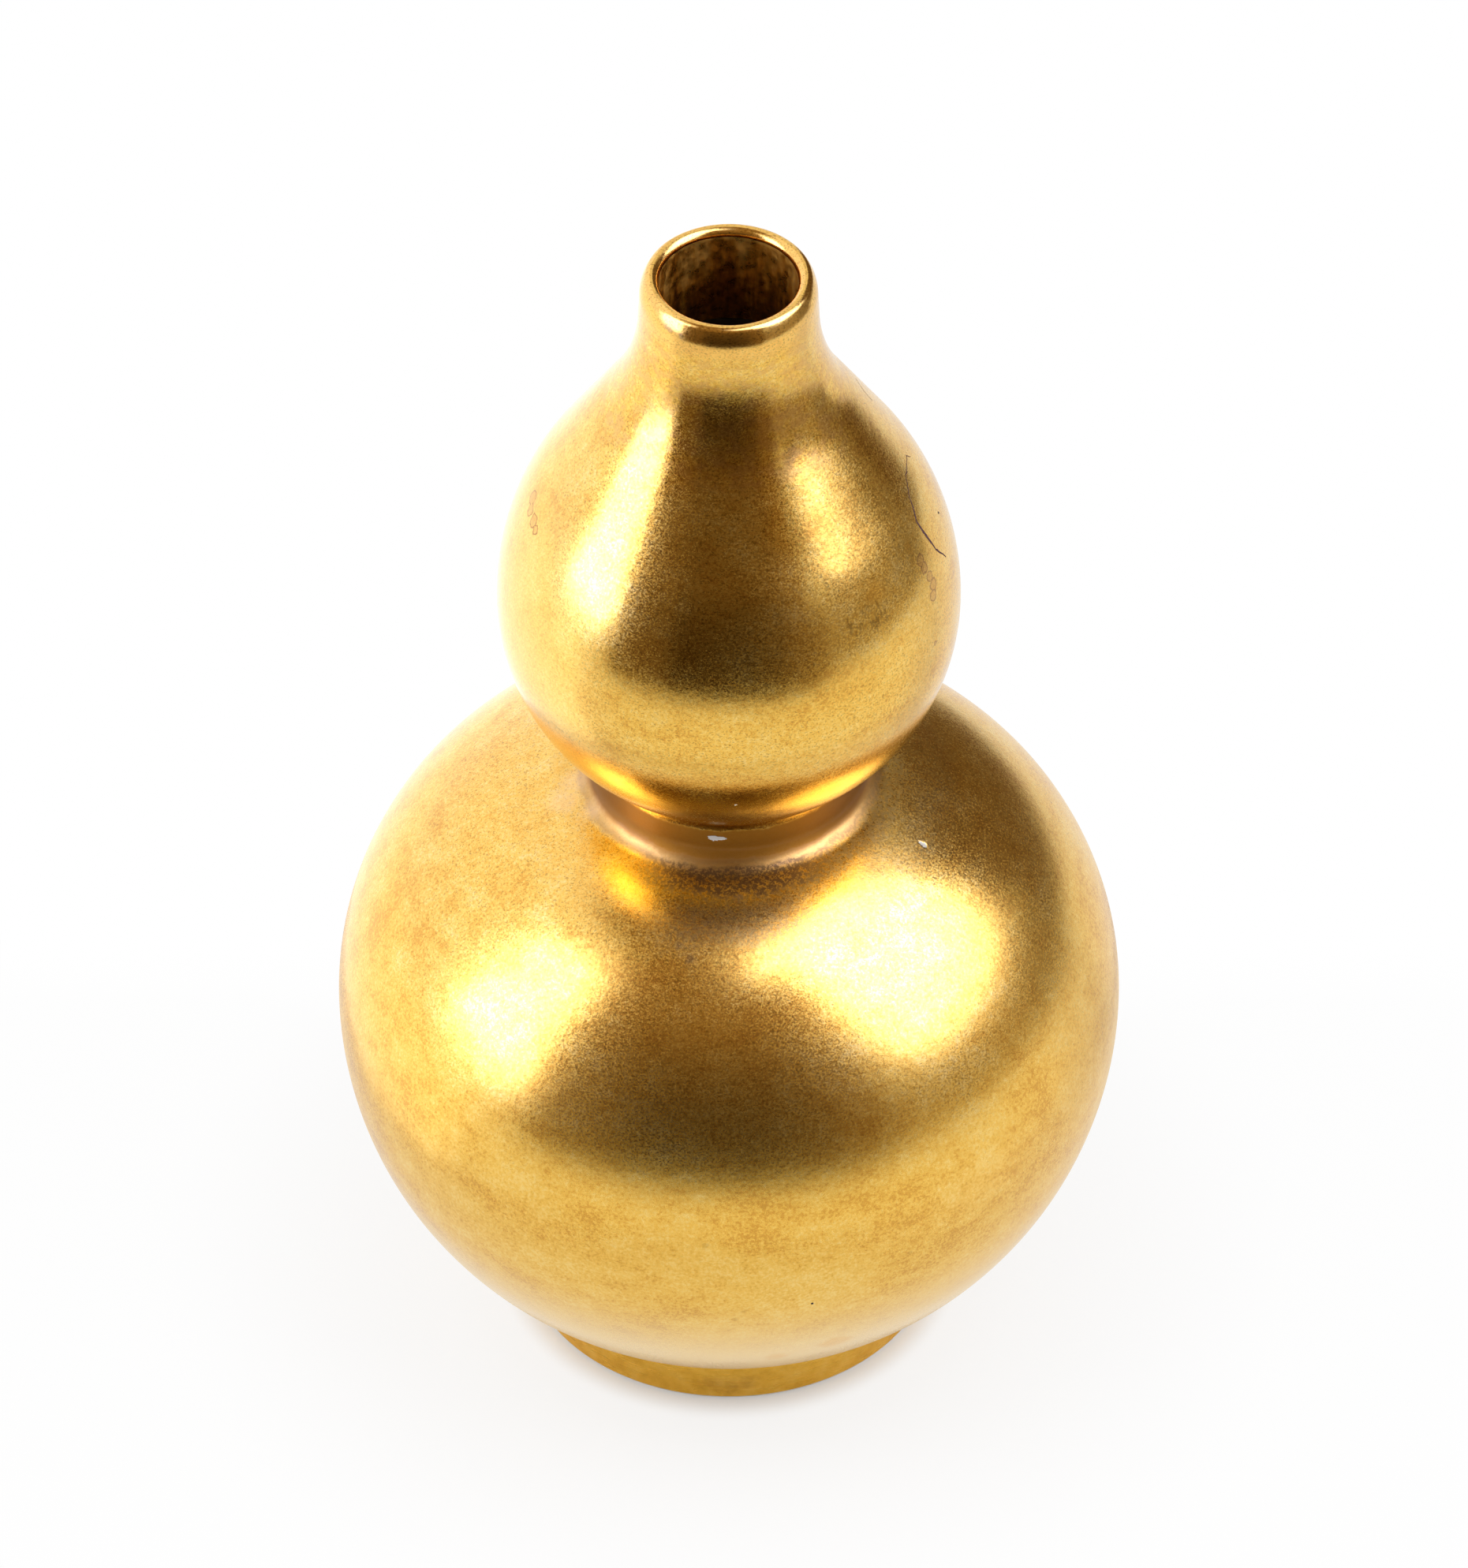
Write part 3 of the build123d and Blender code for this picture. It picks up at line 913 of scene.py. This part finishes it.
for piece, node, slot in (
    (body_skin, "body_gilding", "gold"),
    (foot_skin, "foot_gilding", "foot_gold"),
    (mouth_skin, "mouth_gilding", "mouth_gold"),
):
    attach(piece, "root")
    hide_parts(node)
for piece in (main_crack, upper_crack, *crumbs):
    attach(piece, "root")

# Studio. Bearings are degrees round the vase from the camera's side, positive to the camera's left.
card_turns = 24
table_skim = 0.001


def bearing_point(bearing, distance, z):
    """Point at a bearing, a distance from the vase's axis and a height."""
    angle = math.radians(bearing)
    return Vector((-distance * math.sin(angle), -distance * math.cos(angle), z))


def aimed(thing, target):
    """Turn a lamp or camera to look at a target."""
    thing.rotation_euler = (target - thing.location).to_track_quat("-Z", "Y").to_euler()


def lamp(name, bearing, distance, z, aim_z, width, tall, energy):
    """Soft area lamp for the table and the bare porcelain. The gold reflects the cards instead."""
    light = bpy.data.lights.new(name, "AREA")
    light.shape = "RECTANGLE"
    light.size = width
    light.size_y = tall
    light.energy = energy
    holder = bpy.data.objects.new(name, light)
    holder.location = bearing_point(bearing, distance, z)
    aimed(holder, Vector((0, 0, aim_z)))
    holder.visible_camera = False
    holder.visible_glossy = False
    bpy.context.scene.collection.objects.link(holder)


def card(name, points, faces, n, strength, colour):
    """Card or softbox front that only the reflections in the vase show, glowing by a strength."""
    holder = add_object(name, points, faces)
    glow = n.add("ShaderNodeEmission", Color=(*colour, 1), Strength=strength)
    holder.data.materials.append(n.surface(glow.outputs["Emission"]))
    holder.visible_camera = False
    holder.visible_diffuse = False
    holder.visible_shadow = False


def round_card(name, bearings, near, far, colour, radiance, fade=None):
    """Card curved round the vase between two bearings, from one (distance, z) to another.

    A fade of (z, z, radiance) has the card start at that radiance and reach its own between the heights.
    """
    turns = np.linspace(*bearings, card_turns)
    points = [bearing_point(b, *edge) for edge in (near, far) for b in turns]
    faces = [(k, k + 1, card_turns + k + 1, card_turns + k) for k in range(card_turns - 1)]
    n = Nodes(bpy.data.materials.new(name))
    strength = radiance
    if fade is not None:
        low, high, start_radiance = fade
        strength = n.ramp(n.axis(n.place(), "Z"), low, high, start_radiance, radiance)
    card(name, points, faces, n, strength, colour)


def softbox(
    name, bearing, distance, z, tilt, radiance, side_fade, bottom_fade, top_fade, edge_shares, colour
):
    """Flat softbox square to a bearing, leaned over the vase by the tilt, and hot in the middle.

    Each fade is the pair of distances from the centre between which it falls to its edge's share
    of the radiance. The shares are those of the sides, the bottom and the top.
    """
    centre = bearing_point(bearing, distance, z)
    outward = bearing_point(bearing, 1, 0)
    side = outward.cross(Vector((0, 0, 1)))
    lean = math.radians(tilt)
    rise = Vector((0, 0, math.cos(lean))) - outward * math.sin(lean)
    half_width = side_fade[1]
    bottom = -bottom_fade[1]
    top = top_fade[1]
    points = [
        centre + side * across + rise * along
        for across, along in (
            (-half_width, bottom), (half_width, bottom), (half_width, top), (-half_width, top)
        )
    ]
    side_share, bottom_share, top_share = edge_shares
    n = Nodes(bpy.data.materials.new(name))
    off = n.add("ShaderNodeVectorMath", operation="SUBTRACT")
    off = n.fed(off, n.place(), centre).outputs["Vector"]
    across = n.math("ABSOLUTE", n.measure("DOT_PRODUCT", off, side))
    along = n.measure("DOT_PRODUCT", off, rise)
    strength = n.product(
        n.ramp(across, *side_fade, 1.0, side_share),
        n.ramp(along, bottom, -bottom_fade[0], bottom_share, 1.0),
        n.ramp(along, *top_fade, radiance, top_share * radiance),
    )
    card(name, points, [(0, 1, 2, 3)], n, strength, colour)


warm_dark = (1.0, 0.66, 0.30)
warm_grey = (1.0, 0.84, 0.66)
white = (1.0, 1.0, 1.0)
cool = (1.0, 1.0, 1.25)
flash = (0.97, 1.0, 1.5)

# The dark side of the room, where the camera stands, grows lighter upwards and towards the softboxes
camera_side_distance = 0.36
camera_side_height = 0.95
camera_side_fade = (0.10, 0.60)
for place, bearings, low, high in (
    ("middle", (-14, 28), 0.058, 0.29),
    ("right", (-28, -14), 0.092, 0.29),
    ("far_right", (-43, -28), 0.190, 0.36),
    ("left", (28, 41), 0.145, 0.27),
    ("far_left", (41, 55), 0.170, 0.34),
):
    foot_edge = (camera_side_distance, 0.0)
    head_edge = (camera_side_distance, camera_side_height)
    fade = (*camera_side_fade, low)
    round_card("camera_side_" + place, bearings, foot_edge, head_edge, warm_dark, high, fade)
round_card("right_back_dark", (-112, -162), (0.60, 0.0), (0.60, 0.75), warm_dark, 0.15)
round_card("right_low_dark", (-92, -42), (0.43, table_skim), (1.0, 0.29), warm_grey, 0.38)
round_card("right_side_dark", (-116, -92), (0.43, table_skim), (1.0, 0.29), warm_grey, 0.27)
round_card("left_back_wall", (90, 165), (1.2, 0.0), (1.2, 2.4), cool, 1.34)
ceiling_radius = 1.2
ceiling_height = 2.6
ceiling_corners = [bearing_point(b, ceiling_radius, ceiling_height) for b in range(0, 360, 15)]
ceiling_face = tuple(range(len(ceiling_corners)))
ceiling_nodes = Nodes(bpy.data.materials.new("ceiling_dark"))
card("ceiling_dark", ceiling_corners, [ceiling_face], ceiling_nodes, 0.30, warm_dark)

# The lit table, as the gold shows it
for place, bearings, near, far, radiance in (
    ("left_back", (70, 180), 0.10, 3.0, 1.45),
    ("right_back", (-180, -116), 0.10, 3.0, 1.0),
    ("near", (-180, 180), 0.034, 0.090, 0.92),
    ("front", (-90, 70), 0.125, 0.300, 1.03),
):
    round_card(place + "_table", bearings, (near, table_skim), (far, table_skim), white, radiance)

softbox(
    "left_softbox", bearing=72, distance=0.45, z=0.50, tilt=0, radiance=5.2,
    side_fade=(0.075, 0.155), bottom_fade=(0.35, 0.46), top_fade=(-0.05, 0.35),
    edge_shares=(0.21, 0.21, 0.26), colour=flash,
)
softbox(
    "right_softbox", bearing=-79, distance=0.755, z=1.03, tilt=51, radiance=5.3,
    side_fade=(0.27, 0.80), bottom_fade=(0.42, 1.02), top_fade=(0.45, 0.90),
    edge_shares=(0.03, 0.14, 0.1), colour=flash,
)
lamp("left_lamp", bearing=73, distance=0.50, z=0.55, aim_z=0.05, width=0.5, tall=0.7, energy=2.3)
lamp("right_lamp", bearing=-70, distance=0.50, z=0.60, aim_z=0.05, width=0.6, tall=0.7, energy=2.8)

# Table top. Its shading fades into plain white away from the vase, as in an overexposed studio sweep.
half_table = 12.0
foot_shadow_reach = (0.0263, 0.031)
wide_shadow_reach = (0.034, 0.080)
behind_vase = (-0.05, 0.06)
table_grey = (0.86, 0.86, 0.86, 1)
plain_white = (1, 1, 1, 1)
corners = [(x * half_table, y * half_table, 0) for x, y in ((-1, -1), (1, -1), (1, 1), (-1, 1))]
floor = add_object("table_top", corners, [(0, 1, 2, 3)])
n = Nodes(bpy.data.materials.new("table_white"))
where = n.place()
reach = n.measure("LENGTH", where)
away = n.ramp(reach, *foot_shadow_reach, 0.20, 0.80)
away = n.math("ADD", away, n.ramp(reach, *wide_shadow_reach, 0.0, 0.16))
behind = n.ramp(n.axis(where, "Y"), *behind_vase)
seen = n.add("ShaderNodeLightPath").outputs["Is Camera Ray"]
lit = n.add("ShaderNodeBsdfPrincipled", Base_Color=table_grey, Roughness=0.6).outputs["BSDF"]
glow = n.add("ShaderNodeEmission", Color=plain_white, Strength=1.0).outputs["Emission"]
whiteness = n.product(seen, n.math("MAXIMUM", away, behind))
floor.data.materials.append(n.surface(n.mixed_shader(whiteness, lit, glow)))

# The room lights the vase softly, and is plain white where it is seen
n = Nodes(bpy.data.worlds.new("studio"), "ShaderNodeOutputWorld")
rays = n.add("ShaderNodeLightPath").outputs
seen = n.math("MAXIMUM", rays["Is Camera Ray"], rays["Is Glossy Ray"])
seen = n.math("MAXIMUM", seen, rays["Is Transmission Ray"])
room = n.add("ShaderNodeBackground", Color=plain_white, Strength=0.4).outputs[0]
backdrop = n.add("ShaderNodeBackground", Color=plain_white, Strength=1.0).outputs[0]
bpy.context.scene.world = n.surface(n.mixed_shader(seen, room, backdrop))

# Camera, as the photograph was taken: from 43 degrees above, far off with a long lens
photo_width, photo_height = 1861, 1988
focal_pixels = 14000
camera_distance = 1.3918
camera_rise = math.radians(43.02)
film_width = 36
target = Vector((0.00065, 0, 83.75 * MM))
lens_data = bpy.data.cameras.new("photo_camera")
lens_data.sensor_width = film_width
lens_data.lens = film_width * focal_pixels / max(photo_width, photo_height)
lens_data.clip_start = 0.05
lens_data.clip_end = 60
camera = bpy.data.objects.new("photo_camera", lens_data)
camera.location = target + camera_distance * Vector((0, -math.cos(camera_rise), math.sin(camera_rise)))
aimed(camera, target)
bpy.context.scene.collection.objects.link(camera)
bpy.context.scene.camera = camera
bpy.context.scene.view_settings.view_transform = "Standard"

bpy.context.view_layer.update()
